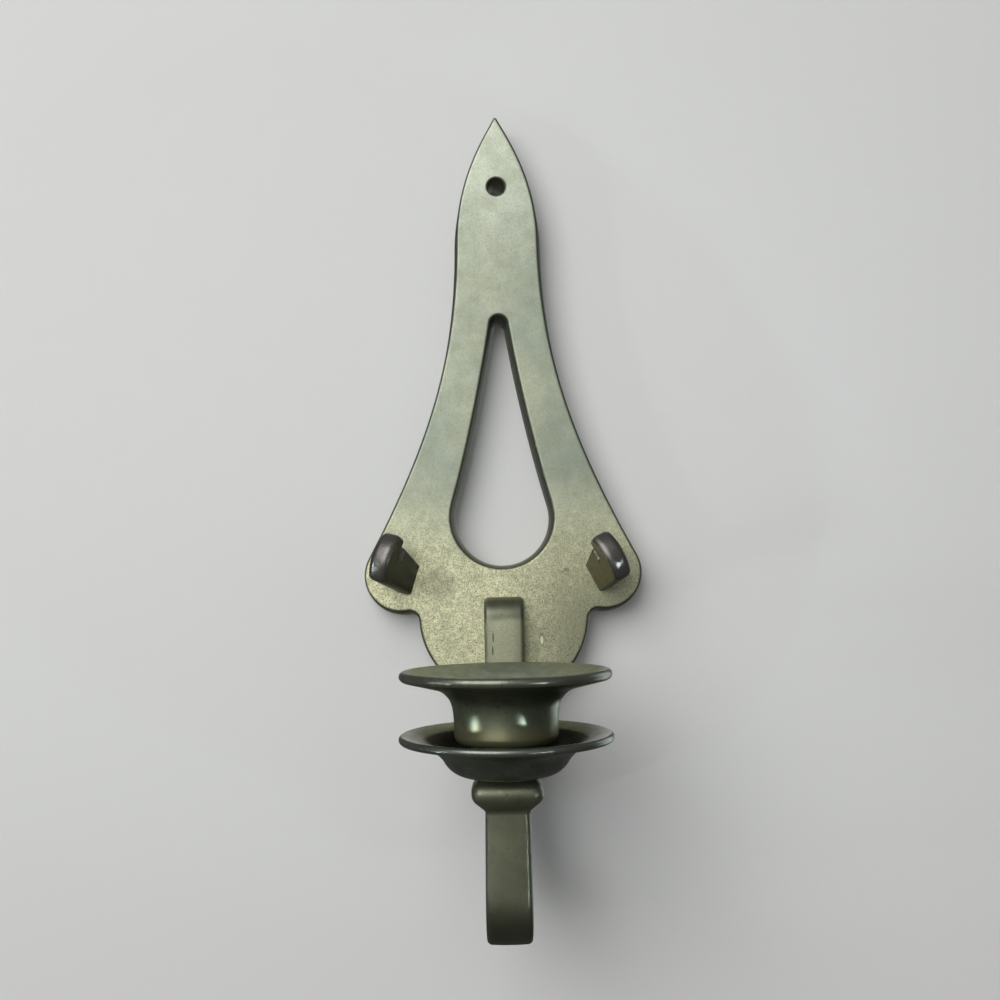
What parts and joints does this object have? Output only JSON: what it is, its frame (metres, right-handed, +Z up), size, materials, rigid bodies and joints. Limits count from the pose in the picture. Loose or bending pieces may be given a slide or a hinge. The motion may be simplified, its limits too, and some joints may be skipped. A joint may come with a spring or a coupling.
{
  "type": "wall candle sconce",
  "caption": "Wall sconce with a pierced spear-shaped backplate, two snuffer hooks, and a bracket arm carrying a drip pan and a flanged taper-candle cup.",
  "frame": {"origin": "centre of the wall-screw hole, on the wall plane at the back of the plate", "axes": "+Z up, -Y out of the wall towards the room, +X to the right of a person facing the wall"},
  "size_m": [0.083, 0.0861, 0.2346],
  "materials": {
    "plate_patina": "speckled greenish-olive aged brass, satin",
    "arm_patina": "dark olive aged brass with rubbed edges, satin",
    "pan_patina": "dark olive-bronze aged brass, semi-gloss lip",
    "cup_patina": "dark olive-bronze aged brass, semi-gloss neck",
    "hook_patina": "dark brown-black patina with soft highlights",
    "hardware_brass": "dull brass, lightly tarnished"
  },
  "bodies": {
    "root": {"backplate": "plate_patina", "arm": "arm_patina", "arm_screws": "hardware_brass", "arm_lock_washers": "hardware_brass", "drip_pan": "pan_patina", "candle_cup": "cup_patina", "cup_screw": "hardware_brass", "left_hook": "hook_patina", "right_hook": "hook_patina", "hook_nuts": "hardware_brass"}
  },
  "joints": []
}
